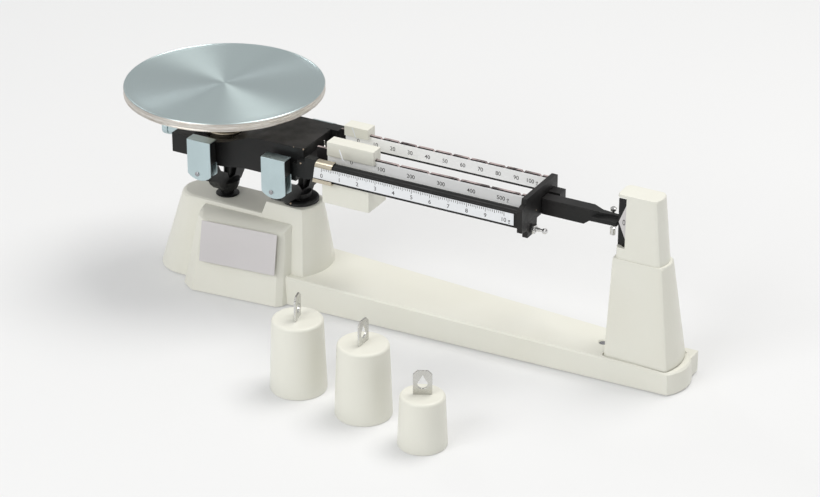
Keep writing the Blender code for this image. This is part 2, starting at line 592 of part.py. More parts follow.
def build_beam_end(body):
    outline = ((0.0198, 0.1347), (0.0218, 0.1335), (0.0218, 0.1175), (0.0120, 0.1130), (-0.0110, 0.1130),
               (-0.0115, 0.1045), (-0.0250, 0.1032), (-0.0270, 0.1090), (-0.0352, 0.1105), (-0.0352, 0.1292),
               (-0.0290, 0.1305), (-0.0283, 0.1347))
    plate = prism("end_plate", outline, "X", BEAM_END_X, 0.2700)
    foot = box("foot", (0.2658, -0.0260, 0.1030), (0.2701, -0.0125, 0.1150))
    lug = box("lug", (0.2690, 0.0075, 0.1150), (0.2790, 0.0170, 0.1262))
    join(plate, foot, lug)
    cut(plate, rod("stud_hole", "X", (0.0, STUD_Y, STUD_Z), 0.0019, 0.2672, 0.2760, 16))
    finish(plate, "black_paint", body, 30.0)

    arm_side = [(0.2703, 0.1134), (0.3040, 0.1134), (0.3085, 0.1168), (0.3300, 0.1172), (0.3300, 0.1225),
                (0.3150, 0.1235), (0.3085, 0.1261), (0.2703, 0.1261)]
    arm = prism("pointer_arm", arm_side, "Y", -0.0049, 0.0049)
    scoop = prism("scoop", [(0.3080, -0.0060), (0.3340, -0.0060), (0.3340, 0.0020), (0.3240, 0.0020),
                            (0.3140, -0.0010)], "Z", 0.1205, 0.1300)
    cut(arm, scoop)
    finish(arm, "black_paint", body, 30.0)

    vane_side = ((0.3303, 0.1172), (0.3355, 0.1172), (0.3375, 0.1120), (0.3500, 0.1120), (0.3500, 0.1290),
                 (0.3303, 0.1290))
    vane = prism("damper_vane", vane_side, "Y", 0.0, 0.0010)
    finish(vane, "aluminium", body)

    hanger = turned("weight_hanger_pin", ((0.0022, 0.1040), (0.0022, 0.1095), (0.0011, 0.1100), (0.0011, 0.1225),
                                          (0.0024, 0.1230), (0.0024, 0.1248), (0.0014, 0.1256)), "Z",
                    (0.3215, 0.0078, 0.0), 16)
    finish(hanger, "chrome", body, 40.0)

    profile = [(0.0015, 0.2675), (0.0015, 0.2760), (0.0011, 0.2765), (0.0011, 0.2785)]
    profile += [(0.0022 * math.sin(math.radians(a)), 0.2803 - 0.0022 * math.cos(math.radians(a)))
                for a in (35, 60, 90, 120, 150)]
    stud = turned("calibration_stud", profile, "X", (0.0, STUD_Y, STUD_Z), 16)
    finish(stud, "chrome", body, 40.0)


def build_zero_knob(body):
    """A disc with a hub behind it, split by a narrow groove, on a thread cut from the right."""
    knob = turned("zero_knob", ((0.0048, -0.0400), (0.0056, -0.0408), (0.0056, -0.0488), (0.0050, -0.0491),
                                (0.0050, -0.0494), (0.0060, -0.0497), (0.0060, -0.0542), (0.0054, -0.0548)),
                  "X", (0.0, 0.0, KNIFE_Z), 32)
    cut(knob, rod("thread", "X", (0.0, 0.0, KNIFE_Z), 0.0021, -0.0528, -0.0380, 16))
    finish(knob, "nickel", body, 40.0)


def build_calibration_nut(body):
    nut = turned("calibration_nut", ((0.0034, 0.2705), (0.0037, 0.2709), (0.0037, 0.2729), (0.0034, 0.2733)),
                 "X", (0.0, STUD_Y, STUD_Z), 6)
    cut(nut, rod("thread", "X", (0.0, STUD_Y, STUD_Z), 0.0018, 0.2690, 0.2750, 16))
    finish(nut, "chrome", body)


# ---------------------------------------------------------------- poises
def build_poises(rear, middle, front):
    """The 100 g and 500 g poises straddle their plates; the rider wraps the front beam."""
    slot = PLATE_THICK / 2.0 + GAP
    strip_slot = slot + STRIP_THICK + GAP
    roof = PLATE_TOP + GAP

    small = box("poise_100g", (0.0960, 0.0140, 0.1010), (0.1160, 0.0250, 0.1376))
    cut(small, box("plate_slot", (0.0900, REAR_Y - strip_slot, PLATE_BOTTOM - 0.0010),
                   (0.1200, REAR_Y + slot, roof)),
        box("window", (0.0900, 0.0100, PLATE_BOTTOM - 0.0012), (0.1200, REAR_Y, 0.1296)))
    finish(small, "cream_paint", rear, 30.0)

    large = box("poise_500g", (0.1010, -0.0285, 0.0930), (0.1408, -0.0020, 0.1166))
    join(large, box("back_leg", (0.1010, MIDDLE_Y + slot, 0.1100), (0.1408, -0.0100, 0.1390)),
         box("saddle", (0.1010, -0.0210, 0.1280), (0.1408, -0.0100, 0.1396)))
    cut(large, box("plate_slot", (0.0900, MIDDLE_Y - strip_slot, 0.1180), (0.1500, MIDDLE_Y + slot, roof)))
    finish(large, "cream_paint", middle, 30.0)

    wrap = [(FRONT_Y + y, FRONT_TUBE_Z + z) for y, z in arc((0.0, 0.0), FRONT_TUBE_R + 0.0010, 235.0, -30.0, 12)]
    wrap += [(-0.0294, 0.1235), (-0.0294, 0.1114), (-0.0347, 0.1114), (-0.0347, 0.1143), (-0.0341, 0.1143),
             (-0.0341, 0.1121), (-0.0301, 0.1121), (-0.0301, 0.1240)]
    wrap += [(FRONT_Y + y, FRONT_TUBE_Z + z) for y, z in arc((0.0, 0.0), FRONT_TUBE_R + GAP, -42.0, 235.0, 12)]
    rider = prism("rider_10g", wrap, "X", 0.0964, 0.1126)
    for vertex in rider.data.vertices:
        rise = max(0.0, vertex.co.z - 0.1240)
        if vertex.co.x < 0.105:
            vertex.co.x += 0.15 * (vertex.co.z - 0.1114) + 0.22 * rise
        else:
            vertex.co.x += 0.34 * rise
    finish(rider, "tan_nickel", front, 40.0)


# ---------------------------------------------------------------- pan and its yoke
def build_yoke(body):
    """Fork under the beam with a stirrup at each end, a post up to the pan and a stem down."""
    yoke = turned("pan_yoke", ((0.0042, 0.0180), (0.0042, 0.0696), (0.0076, 0.0700), (0.0092, 0.0737),
                               (0.0099, 0.0775), (0.0060, 0.0790), (0.0026, 0.0800), (0.0026, 0.1100),
                               (0.0060, 0.1140), (0.0060, 0.1160 - GAP)), "Z", (0.0, 0.0, 0.0), 28)
    join(yoke, fork(0.0, YOKE_UNDERSIDE, YOKE_INSIDE, 0.1080), fork_rib(0.0, 0.0760, 0.0985))
    for front in (True, False):
        join(yoke, knife_box(0.0, front, YOKE_BOX_BOTTOM, 0.1232))
        cut(yoke, knife_window(0.0, 0.0033, front, 0.1030, 0.1161), cover_screw_hole(0.0, front))
    cut(yoke, box("stem_slot", (-0.0060, -0.0022, 0.0100), (0.0060, 0.0022, 0.0370)),
        rod("pin_hole", "Y", (0.0, 0.0, LINK_Z), 0.0015, -0.0080, 0.0080, 12))
    finish(yoke, "black_paint", body, 35.0)

    seat = turned("pan_seat", ((0.0146, 0.1160), (0.0155, 0.1166), (0.0155, 0.1214), (0.0148, 0.1222)), "Z",
                  (0.0, 0.0, 0.0), 36)
    cut(seat, turned("socket", ((0.0040, 0.1190), (0.0080, 0.1230)), "Z", (0.0, 0.0, 0.0), 24))
    finish(seat, "tan_nickel", body, 40.0)

    pin = rod("check_link_pin", "Y", (0.0, 0.0, LINK_Z), 0.0012, -0.0060, 0.0060, 16)
    finish(pin, "tool_steel", body, 40.0)

    for front, place in ((True, "front"), (False, "rear")):
        low, high = (-0.0365, -0.0303) if front else (0.0303, 0.0365)
        bearing = prism("load_bearing_" + place, bearing_outline(0.0, KNIFE_Z, -1), "Y", low, high)
        finish(bearing, "tool_steel", body)
        cover = cover_shell("load_cover_" + place, 0.0, front, YOKE_BOX_BOTTOM)
        cut(cover, cover_screw_hole(0.0, front))
        finish(cover, "nickel", body, 35.0)
        finish(cover_screw("load_cover_screw_" + place, 0.0, front), "tan_nickel", body, 40.0)


def build_pan(body):
    rim = PAN_RADIUS
    profile = ((rim - 0.0020, PAN_TOP - 0.0070), (rim - 0.0006, PAN_TOP - 0.0072), (rim, PAN_TOP - 0.0064),
               (rim, PAN_TOP - 0.0016), (rim - 0.0006, PAN_TOP - 0.0006), (rim - 0.0022, PAN_TOP - 0.0002),
               (rim - 0.0060, PAN_TOP - 0.0012), (0.0300, PAN_TOP), (0.0300, PAN_TOP - 0.0014),
               (rim - 0.0060, PAN_TOP - 0.0026), (rim - 0.0024, PAN_TOP - 0.0022))
    bm = bmesh.new()
    sides = 72
    loops = []
    for i in range(sides):
        angle = 2.0 * math.pi * i / sides
        loops.append([bm.verts.new((r * math.cos(angle), r * math.sin(angle), z)) for r, z in profile])
    count = len(profile)
    crown = 7                      # the profile point where the plate's flat centre begins
    for i in range(sides):
        this, following = loops[i], loops[(i + 1) % sides]
        for k in range(count):
            if k != crown:
                n = (k + 1) % count
                bm.faces.new((this[k], following[k], following[n], this[n]))
    bm.faces.new([loop[crown] for loop in loops])
    bm.faces.new([loop[crown + 1] for loop in loops])
    finish(mesh_object("pan_plate", bm), "brushed_steel", body, 30.0)

    hub = turned("pan_hub", ((0.0032, 0.1196), (0.0068, 0.1226 + GAP), (0.0118, 0.1232), (0.0125, 0.1240),
                             (0.0125, 0.1400), (0.0210, 0.1545), (0.0240, PAN_TOP - 0.0024),
                             (0.0240, PAN_TOP - 0.0022)), "Z", (0.0, 0.0, 0.0), 32)
    finish(hub, "tan_nickel", body, 40.0)


def build_check_link(body):
    """Bar inside the base, as long as the load arm, that keeps the yoke upright."""
    outline = arc((LOAD_ARM, LINK_Z), 0.0044, -90.0, 90.0, 10) + arc((0.0, LINK_Z), 0.0044, 90.0, 270.0, 10)
    link = prism("check_link", outline, "Y", -0.0014, 0.0014)
    cut(link, rod("base_pivot", "Y", (LOAD_ARM, 0.0, LINK_Z), 0.0021, -0.01, 0.01, 16),
        rod("stem_pivot", "Y", (0.0, 0.0, LINK_Z), 0.0024, -0.01, 0.01, 16))
    finish(link, "tool_steel", body, 40.0)


# ---------------------------------------------------------------- attachment weights
def build_weight(name, body, radius, top_radius, height, turn):
    x, y = body.location.x, body.location.y
    weight = turned(name, ((radius - 0.0012, 0.0), (radius, 0.0012), (top_radius + 0.0004, height - 0.0034),
                           (top_radius - 0.0008, height - 0.0010), (top_radius - 0.0030, height)), "Z",
                    (x, y, 0.0), 36)
    place = Matrix.Translation((x, y, height)) @ Matrix.Rotation(math.radians(turn), 4, "Z")
    half = HOOK_WIDTH / 2.0
    slot = box("hook_slot", (-half - GAP, -HOOK_THICK / 2.0 - GAP, -0.0083),
               (half + GAP, HOOK_THICK / 2.0 + GAP, 0.0050))
    slot.data.transform(place)
    cut(weight, slot)
    finish(weight, "cream_paint", body, 35.0)

    outline = [(-half, -0.0080), (half, -0.0080), (half, HOOK_RISE - 0.0030), (half - 0.0030, HOOK_RISE),
               (-half + 0.0030, HOOK_RISE), (-half, HOOK_RISE - 0.0030)]
    hook = prism(name.replace("weight", "hook"), outline, "Y", -HOOK_THICK / 2.0, HOOK_THICK / 2.0)
    eye = arc((0.0, HOOK_RISE - 0.0105), HOOK_EYE_R, 130.0, 410.0, 16) + [(0.0, HOOK_RISE - 0.0032)]
    cut(hook, prism("eye", eye, "Y", -0.01, 0.01))
    hook.data.transform(place)
    finish(hook, "nickel", body, 35.0)


# ---------------------------------------------------------------- assembly
def build():
    clear_scene()
    frame = make_empty("balance", (-(FRAME_MIN_X + FRAME_MAX_X) / 2.0, -(FRAME_MIN_Y + FRAME_MAX_Y) / 2.0, 0.0))
    base = make_empty("base", (0.0, 0.0, 0.0), frame)
    beam = make_empty("beam_axis", (LOAD_ARM, 0.0, KNIFE_Z), frame)
    support = make_empty("pan_support_axis", (0.0, 0.0, KNIFE_Z), frame)
    link = make_empty("check_link_axis", (LOAD_ARM, 0.0, LINK_Z), frame)
    pan = make_empty("pan_axis", (0.0, 0.0, PAN_TOP), frame)
    rear = make_empty("poise_100g_slide", (REAR_ZERO_X, REAR_Y, PLATE_TOP), frame)
    middle = make_empty("poise_500g_slide", (MIDDLE_ZERO_X, MIDDLE_Y, PLATE_TOP), frame)
    front = make_empty("rider_slide", (0.1038, FRONT_Y, FRONT_TUBE_Z), frame)
    knob = make_empty("zero_knob_axis", (KNOB_X, 0.0, KNIFE_Z), frame)
    nut = make_empty("calibration_nut_axis", (0.2719, STUD_Y, STUD_Z), frame)

    build_base(base)
    build_tower(base)
    build_fulcrum(base)
    build_check_bracket(base)
    build_beam_casting(beam)
    build_rails(beam)
    build_beam_end(beam)
    build_zero_knob(knob)
    build_calibration_nut(nut)
    build_poises(rear, middle, front)
    build_yoke(support)
    build_pan(pan)
    build_check_link(link)
    for name, x, y, radius, top_radius, height, turn in WEIGHTS:
        axis = make_empty(name + "_axis", (x, y, 0.0), frame)
        build_weight(name, axis, radius, top_radius, height, turn)


build()
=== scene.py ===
import json
import math

import bmesh
import bpy
from mathutils import Matrix, Vector

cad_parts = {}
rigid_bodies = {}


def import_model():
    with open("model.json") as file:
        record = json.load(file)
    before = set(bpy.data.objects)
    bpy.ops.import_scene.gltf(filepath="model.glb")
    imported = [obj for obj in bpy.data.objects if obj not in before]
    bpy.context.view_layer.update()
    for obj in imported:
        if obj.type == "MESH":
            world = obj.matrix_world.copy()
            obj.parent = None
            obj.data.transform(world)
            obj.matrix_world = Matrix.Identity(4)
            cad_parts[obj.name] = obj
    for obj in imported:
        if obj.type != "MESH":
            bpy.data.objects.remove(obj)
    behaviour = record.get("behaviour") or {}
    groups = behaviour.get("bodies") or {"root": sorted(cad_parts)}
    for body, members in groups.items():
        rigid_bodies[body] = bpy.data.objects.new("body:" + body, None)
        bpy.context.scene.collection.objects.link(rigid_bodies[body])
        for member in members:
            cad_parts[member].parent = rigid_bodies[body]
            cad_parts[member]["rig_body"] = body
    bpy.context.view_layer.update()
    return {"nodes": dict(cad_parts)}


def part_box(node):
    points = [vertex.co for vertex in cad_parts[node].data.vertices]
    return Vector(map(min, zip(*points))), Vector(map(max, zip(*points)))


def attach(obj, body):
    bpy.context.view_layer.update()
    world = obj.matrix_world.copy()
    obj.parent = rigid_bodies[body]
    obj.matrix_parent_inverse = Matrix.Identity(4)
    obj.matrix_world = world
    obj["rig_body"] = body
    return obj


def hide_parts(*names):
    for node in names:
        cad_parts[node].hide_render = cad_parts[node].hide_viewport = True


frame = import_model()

MM = 0.001
PAN_LOW, PAN_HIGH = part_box("pan_plate")
PAN_X = (PAN_LOW.x + PAN_HIGH.x) / 2.0
PAN_Y = (PAN_LOW.y + PAN_HIGH.y) / 2.0
PAN_TOP = PAN_HIGH.z + 0.2 * MM

REAR_LABEL_X = 104.3              # scale positions in mm from the pan's axis
REAR_PITCH = 14.72
MIDDLE_LABEL_X = 120.3
MIDDLE_PITCH = 24.9
FRONT_ZERO_X = 103.8
FRONT_PITCH = 1.51
INNER_FIGURE_SHIFT = 1.5          # the rear rail's figures stand to the right of their notches
REAR_FACE_Y = 17.65
MIDDLE_FACE_Y = -17.85
FRONT_FACE_Y = -33.74
INNER_FIGURE_Z = 125.4
FRONT_FIGURE_Z = 117.4
FRONT_TICK_TOP_Z = 123.5
TICK_HALF = 0.19
INK_DEPTH = 0.04
ZERO_MARK_Z = 122.5
FIGURE_SIZE = 4.5                 # mm, about 3.1 mm tall
PRINT_THICK = 0.00002
PRINT_BOLD = 0.00002

CAMERA_LOCATION = (0.9655, -1.6974, 1.0695)
CAMERA_ELEVATION = 26.91
CAMERA_AZIMUTH = 28.81
CAMERA_LENS = 131.707


def at(x, y, z):
    """A point given in mm from the pan's axis and the floor."""
    return Vector((PAN_X + x * MM, PAN_Y + y * MM, z * MM))


# ---------------------------------------------------------------- materials
class Finish:
    """A Principled material whose colour, roughness and bump come from nodes."""

    def __init__(self, name, metallic, roughness, **sockets):
        self.material = bpy.data.materials.new(name)
        self.material.use_nodes = True
        self.tree = self.material.node_tree
        self.shader = self.tree.nodes["Principled BSDF"]
        self.shader.inputs["Metallic"].default_value = metallic
        self.shader.inputs["Roughness"].default_value = roughness
        for socket, value in sockets.items():
            self.shader.inputs[socket.replace("_", " ")].default_value = value
        self.place = self.node("ShaderNodeTexCoord").outputs["Object"]

    def node(self, kind, inputs=None, **settings):
        made = self.tree.nodes.new(kind)
        for key, value in settings.items():
            setattr(made, key, value)
        for key, value in (inputs or {}).items():
            if isinstance(value, bpy.types.NodeSocket):
                self.tree.links.new(value, made.inputs[key])
            else:
                made.inputs[key].default_value = value
        return made

    def noise(self, scale, detail=3.0, stretch=(1.0, 1.0, 1.0)):
        mapping = self.node("ShaderNodeMapping", {"Vector": self.place, "Scale": stretch})
        made = self.node("ShaderNodeTexNoise", {"Vector": mapping.outputs["Vector"], "Scale": scale,
                                                "Detail": detail})
        return made.outputs["Fac"]

    def remap(self, value, low, high, out_low, out_high):
        made = self.node("ShaderNodeMapRange", {"Value": value, "From Min": low, "From Max": high,
                                                "To Min": out_low, "To Max": out_high})
        return made.outputs["Result"]

    def math(self, operation, first, second=0.5):
        return self.node("ShaderNodeMath", {0: first, 1: second}, operation=operation).outputs[0]

    def mix(self, factor, first, second):
        made = self.tree.nodes.new("ShaderNodeMix")
        made.data_type = "RGBA"
        self.tree.links.new(factor, made.inputs["Factor"])
        for index, colour in ((6, first), (7, second)):
            if isinstance(colour, bpy.types.NodeSocket):
                self.tree.links.new(colour, made.inputs[index])
            else:
                made.inputs[index].default_value = (*colour, 1.0)
        return made.outputs[2]

    def near(self, point, radius, ragged=0.35):
        """1 close to a point and 0 beyond a ragged edge round it."""
        offset = self.node("ShaderNodeVectorMath", {0: self.place, 1: point}, operation="DISTANCE")
        edge = self.math("MULTIPLY", self.remap(self.noise(2500.0), 0.3, 0.7, 1.0 - ragged, 1.0 + ragged),
                         radius)
        return self.math("LESS_THAN", offset.outputs["Value"], edge)

    def colour(self, socket):
        self.tree.links.new(socket, self.shader.inputs["Base Color"])

    def roughness(self, socket):
        self.tree.links.new(socket, self.shader.inputs["Roughness"])

    def bump(self, height, distance, strength=1.0):
        made = self.node("ShaderNodeBump", {"Height": height, "Distance": distance, "Strength": strength})
        self.tree.links.new(made.outputs["Normal"], self.shader.inputs["Normal"])


def paint(name, colour, tint, roughness, peel, dirt=(0.62, 0.52, 0.36)):
    """Sprayed enamel: slow mottling, orange peel and a few rubbed specks."""
    finish = Finish(name, 0.0, roughness, Coat_Weight=0.12, Coat_Roughness=0.25)
    mottled = finish.mix(finish.remap(finish.noise(14.0, 2.0), 0.35, 0.65, 0.0, 1.0), colour, tint)
    speck = finish.remap(finish.noise(900.0, 2.0), 0.77, 0.82, 0.0, 0.55)
    finish.colour(finish.mix(speck, mottled, dirt))
    finish.roughness(finish.remap(finish.noise(60.0), 0.3, 0.7, roughness - 0.07, roughness + 0.09))
    finish.bump(finish.noise(700.0, 2.0), peel)
    return finish


def black_paint():
    """Satin black enamel over a casting, with painted tan highlights on the sharpest corners."""
    finish = Finish("black_enamel", 0.0, 0.42, Specular_IOR_Level=0.3)
    mottled = finish.mix(finish.remap(finish.noise(30.0), 0.35, 0.65, 0.0, 1.0), (0.008, 0.009, 0.009),
                         (0.014, 0.013, 0.013))
    speck = finish.remap(finish.noise(1100.0, 2.0), 0.76, 0.80, 0.0, 0.5)
    colour = finish.mix(speck, mottled, (0.16, 0.13, 0.11))
    # Painted highlights: tan glints painted into the colour at the listed corners.
    for x, y, z, radius in ((83.5, -25.0, 131.0, 0.9), (83.2, -29.5, 121.0, 0.8), (90.0, -29.0, 123.0, 0.5),
                            (75.0, -25.0, 131.0, 0.4), (270.0, -12.6, 119.8, 0.5), (65.0, -14.5, 77.5, 0.7)):
        colour = finish.mix(finish.near(at(x, y, z), radius * MM), colour, (0.46, 0.36, 0.27))
    finish.colour(colour)
    finish.roughness(finish.remap(finish.noise(90.0), 0.3, 0.7, 0.34, 0.52))
    finish.bump(finish.noise(1600.0, 3.0), 0.00006)
    return finish


def plated(name, colour, dull, roughness, stretch=(1.0, 1.0, 1.0), scale=500.0):
    """Plated sheet: fine scratches along one direction, cloudy patches and small pits."""
    finish = Finish(name, 1.0, roughness)
    cloud = finish.remap(finish.noise(45.0, 2.0), 0.3, 0.75, 0.0, 0.6)
    scratch = finish.remap(finish.noise(scale, 4.0, stretch), 0.62, 0.70, 0.0, 1.0)
    finish.colour(finish.mix(finish.math("MULTIPLY", scratch, 0.6), finish.mix(cloud, colour, dull), dull))
    finish.roughness(finish.remap(finish.noise(scale, 3.0, stretch), 0.3, 0.7, roughness - 0.08,
                                  roughness + 0.12))
    finish.bump(finish.noise(scale, 3.0, stretch), 0.00002)
    return finish


def lathe_finish(name, colour, dull, roughness):
    """Metal turned on a lathe: concentric grooves round the pan's axis and a highlight that fans out."""
    finish = Finish(name, 1.0, roughness, Anisotropic=0.8)
    centred = finish.node("ShaderNodeVectorMath", {0: finish.place, 1: (PAN_X, PAN_Y, 0.0)},
                          operation="SUBTRACT")
    flat = finish.node("ShaderNodeVectorMath", {0: centred.outputs[0], 1: (1.0, 1.0, 0.0)},
                       operation="MULTIPLY")
    radius = finish.node("ShaderNodeVectorMath", {0: flat.outputs[0]}, operation="LENGTH").outputs["Value"]
    ring = finish.node("ShaderNodeTexNoise",
                       {"W": finish.math("MULTIPLY", radius, 2600.0), "Scale": 1.0, "Detail": 4.0},
                       noise_dimensions="1D").outputs["Fac"]
    parts = finish.node("ShaderNodeSeparateXYZ", {"Vector": centred.outputs[0]})
    finish.tree.links.new(flat.outputs[0], finish.shader.inputs["Tangent"])
    face = finish.mix(finish.remap(ring, 0.3, 0.7, 0.0, 1.0), colour, dull)
    # Painted reflection: the side band below the top gets a lighter, warmer streaked colour than the face.
    streaks = finish.remap(finish.noise(160.0, 4.0, (1.0, 1.0, 9.0)), 0.35, 0.68, 0.0, 1.0)
    painted_side_reflection = finish.mix(streaks, (0.74, 0.72, 0.68), (0.60, 0.55, 0.49))
    below = finish.remap(parts.outputs["Z"], PAN_TOP - 1.1 * MM, PAN_TOP - 0.9 * MM, 1.0, 0.0)
    finish.colour(finish.mix(below, face, painted_side_reflection))
    finish.roughness(finish.remap(ring, 0.3, 0.7, roughness - 0.06, roughness + 0.08))
    finish.bump(ring, 0.000012)
    return finish


def rail_paint():
    """Black enamel with a painted highlight along the upward-facing upper edge."""
    finish = Finish("black_enamel_with_painted_top_highlight", 0.0, 0.40, Specular_IOR_Level=0.3)
    # Painted highlight: upward-facing faces near the top edge are mixed to pinkish grey in patches.
    normal = finish.node("ShaderNodeSeparateXYZ",
                         {"Vector": finish.node("ShaderNodeNewGeometry").outputs["Normal"]})
    up = finish.remap(normal.outputs["Z"], 0.35, 0.6, 0.0, 1.0)
    place = finish.node("ShaderNodeSeparateXYZ", {"Vector": finish.place})
    high = finish.remap(place.outputs["Z"], 127.5 * MM, 128.5 * MM, 0.0, 1.0)
    patches = finish.remap(finish.noise(70.0, 3.0), 0.38, 0.55, 0.15, 1.0)
    top_highlight_mask = finish.math("MULTIPLY", finish.math("MULTIPLY", up, high), patches)
    dark = finish.mix(finish.noise(40.0), (0.009, 0.009, 0.010), (0.020, 0.017, 0.017))
    finish.colour(finish.mix(top_highlight_mask, dark, (0.42, 0.34, 0.335)))
    finish.roughness(finish.remap(finish.noise(90.0), 0.3, 0.7, 0.32, 0.50))
    finish.bump(finish.noise(1600.0, 3.0), 0.00005)
    return finish


def print_ink():
    finish = Finish("scale_print", 0.0, 0.6)
    patches = finish.remap(finish.noise(1500.0), 0.4, 0.7, 0.0, 1.0)
    finish.colour(finish.mix(patches, (0.035, 0.032, 0.032), (0.08, 0.075, 0.075)))
    return finish


def rubber():
    finish = Finish("foot_rubber", 0.0, 0.85)
    finish.colour(finish.mix(finish.noise(300.0), (0.022, 0.022, 0.022), (0.05, 0.05, 0.048)))
    finish.bump(finish.noise(1800.0), 0.0001)
    return finish


FINISHES = {
    "cream_paint": paint("cream_enamel", (0.775, 0.772, 0.700), (0.755, 0.748, 0.668), 0.42, 0.00006),
    "black_paint": black_paint(),
    "brushed_steel": lathe_finish("lathe_turned_steel", (0.65, 0.755, 0.765), (0.59, 0.695, 0.70), 0.34),
    "nickel": plated("nickel_plate", (0.55, 0.665, 0.69), (0.47, 0.57, 0.59), 0.34, (1.0, 1.0, 6.0), 1200.0),
    "tan_nickel": plated("warm_nickel_plate", (0.62, 0.56, 0.45), (0.46, 0.41, 0.32), 0.32,
                         (0.1, 1.0, 1.0), 700.0),
    "scale_white": paint("scale_enamel", (0.82, 0.84, 0.87), (0.79, 0.81, 0.83), 0.45, 0.00001,
                         (0.60, 0.58, 0.56)),
    "label_grey": paint("label_film", (0.62, 0.60, 0.605), (0.59, 0.57, 0.575), 0.5, 0.00001,
                        (0.50, 0.48, 0.46)),
    "chrome": plated("bright_plate", (0.72, 0.72, 0.72), (0.52, 0.50, 0.48), 0.18, (3.0, 1.0, 1.0), 700.0),
    "tool_steel": plated("ground_steel", (0.40, 0.40, 0.42), (0.26, 0.26, 0.27), 0.30, (1.0, 8.0, 1.0),
                         700.0),
    "rubber": rubber(),
    "aluminium": plated("cast_aluminium", (0.60, 0.60, 0.61), (0.46, 0.46, 0.47), 0.42, (1.0, 6.0, 1.0),
                        500.0),
    "magnet": plated("magnet_steel", (0.20, 0.20, 0.22), (0.12, 0.12, 0.13), 0.50),
}
SPECIAL = {
    "rear_notched_beam": rail_paint(),
    "hook_1000g_a": plated("hook_plate", (0.66, 0.665, 0.65), (0.46, 0.43, 0.38), 0.26, (1.0, 1.0, 4.0),
                           700.0),
    # Painted light: the rear and middle strips get a brighter copy of the scale enamel to make up for the shade
    # from the rails in front of them.
    "rear_scale_strip": paint("inner_scale_enamel_painted_light", (0.96, 0.965, 0.97), (0.94, 0.945, 0.95), 0.45, 0.00001,
                              (0.66, 0.64, 0.62)),
}
for screw in ("load_cover_screw_front", "load_cover_screw_rear", "fulcrum_cover_screw_front",
              "fulcrum_cover_screw_rear"):
    SPECIAL[screw] = FINISHES["tool_steel"]
SPECIAL["middle_notched_beam"] = SPECIAL["rear_notched_beam"]
SPECIAL["middle_scale_strip"] = SPECIAL["rear_scale_strip"]
SPECIAL["hook_1000g_b"] = SPECIAL["hook_500g"] = SPECIAL["hook_1000g_a"]
INK = print_ink()

SLOTS = {
    "black_paint": ("beam_casting", "rear_notched_beam", "middle_notched_beam", "front_graduated_beam",
                    "end_plate",
                    "pointer_arm", "fulcrum_post", "pan_yoke", "stem_collar", "pointer_scale_plate"),
    "brushed_steel": ("pan_plate",),
    "nickel": ("fulcrum_cover_front", "fulcrum_cover_rear", "load_cover_front", "load_cover_rear",
               "zero_knob",
               "hook_1000g_a", "hook_1000g_b", "hook_500g"),
    "tan_nickel": ("pan_seat", "pan_hub", "rider_10g", "fulcrum_cover_screw_front",
                   "fulcrum_cover_screw_rear",
                   "load_cover_screw_front", "load_cover_screw_rear"),
    "scale_white": ("rear_scale_strip", "middle_scale_strip", "front_scale_strip"),
    "label_grey": ("label_plate",),
    "chrome": ("beam_locating_pin", "calibration_stud", "calibration_nut", "weight_hanger_pin", "zero_stud"),
    "rubber": ("rubber_foot_1", "rubber_foot_2", "rubber_foot_3"),
    "magnet": ("damper_magnet",),
    "aluminium": ("damper_vane", "check_bracket", "check_link"),
    "tool_steel": ("fulcrum_bearing_front", "fulcrum_bearing_rear", "load_bearing_front", "load_bearing_rear",
                   "load_knife_front", "load_knife_rear", "fulcrum_knife_front", "fulcrum_knife_rear",
                   "check_link_pin", "fulcrum_post_bolt", "tower_screw"),
}
SLOT_OF = {node: slot for slot, nodes in SLOTS.items() for node in nodes}


def finish_of(node):
    return SPECIAL.get(node) or FINISHES[SLOT_OF.get(node, "cream_paint")]


# edge radius in mm and number of steps for nodes whose edges show
EDGES = {
    "base_casting": (0.8, 3), "tower_housing": (1.3, 4), "beam_casting": (0.5, 3), "end_plate": (0.5, 3),
    "pointer_arm": (0.4, 3), "poise_100g": (0.7, 3), "poise_500g": (0.7, 3), "rear_notched_beam": (0.15, 2),
    "middle_notched_beam": (0.15, 2), "front_graduated_beam": (0.15, 2), "fulcrum_post": (0.5, 3),
    "pan_yoke": (0.5, 3), "stem_collar": (0.4, 2), "fulcrum_cover_front": (0.12,
                                                                           2), "fulcrum_cover_rear": (0.12, 2),
    "load_cover_front": (0.12, 2), "load_cover_rear": (0.12, 2), "hook_1000g_a": (0.3,
                                                                                  3), "hook_1000g_b": (0.3, 3),
    "hook_500g": (0.3, 3), "rider_10g": (0.1, 2), "label_plate": (0.15, 2), "zero_knob": (0.2, 2),
    "damper_vane": (0.15, 2), "damper_magnet": (0.4, 2), "calibration_nut": (0.15, 2), "pan_seat": (0.3, 2),
    "check_bracket": (0.3, 2), "check_link": (0.3, 2),
}

SHARP_ABOVE = 31.0                # edges that turn more than this many degrees stay crisp
BASE_SHARP_ABOVE = 18.0


# ---------------------------------------------------------------- pieces
def piece(name, bm, finish, smooth_below=35.0):
    mesh = bpy.data.meshes.new(name)
    bm.to_mesh(mesh)
    bm.free()
    mesh.shade_smooth()
    mesh.set_sharp_from_angle(angle=math.radians(smooth_below))
    mesh.materials.append(finish.material)
    made = bpy.data.objects.new(name, mesh)
    bpy.context.scene.collection.objects.link(made)
    return made


def settle(made, node):
    """Let a piece stand for a CAD node and move with its body."""
    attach(made, frame["nodes"][node]["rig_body"])
    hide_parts(node)


